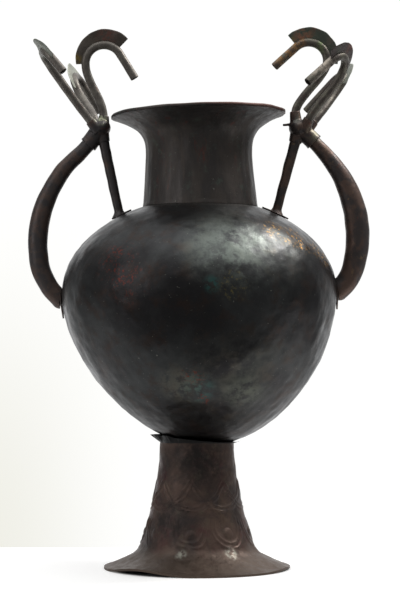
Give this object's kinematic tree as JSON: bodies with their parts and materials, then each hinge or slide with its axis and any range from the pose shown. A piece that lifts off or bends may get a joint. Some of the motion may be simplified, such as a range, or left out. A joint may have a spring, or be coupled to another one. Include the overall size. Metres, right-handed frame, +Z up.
{
  "type": "footed two-handled urn",
  "caption": "Hammered bronze urn: egg-shaped belly on a flaring foot, wide-mouthed neck, tall loop handles with struts and crested crook tubes.",
  "frame": {"origin": "centre of the bounding box at the level of the table that the foot stands on", "axes": "+Z up, front faces -Y, the two handles lie along X"},
  "size_m": [0.3416, 0.275, 0.5408],
  "materials": {
    "belly_bronze": "dark, hammered, blue-black patina with green and red spots",
    "neck_bronze": "dark brown patina with fine upright scratches",
    "foot_bronze": "warm chocolate-brown patina, raised ornament worn brighter",
    "left_handle_bronze": "dark brown patina",
    "right_handle_bronze": "dark brown patina with golden worn spots",
    "left_hook_bronze": "grey-brown patina",
    "right_hook_bronze": "green and orange-brown patina",
    "crest_bronze": "thin sheet, matt grey-green patina"
  },
  "bodies": {
    "root": {"belly": "belly_bronze", "neck": "neck_bronze", "foot": "foot_bronze", "left_handle": "left_handle_bronze", "left_collar": "left_handle_bronze", "left_strut": "left_handle_bronze", "left_inner_hook": "left_hook_bronze", "left_inner_crest": "crest_bronze", "left_front_hook": "left_hook_bronze", "left_front_crest": "crest_bronze", "left_back_hook": "left_hook_bronze", "left_back_crest": "crest_bronze", "right_handle": "right_handle_bronze", "right_collar": "right_handle_bronze", "right_strut": "right_handle_bronze", "right_inner_hook": "right_hook_bronze", "right_inner_crest": "crest_bronze", "right_front_hook": "right_hook_bronze", "right_front_crest": "crest_bronze", "right_back_hook": "right_hook_bronze", "right_back_crest": "crest_bronze"}
  },
  "joints": []
}
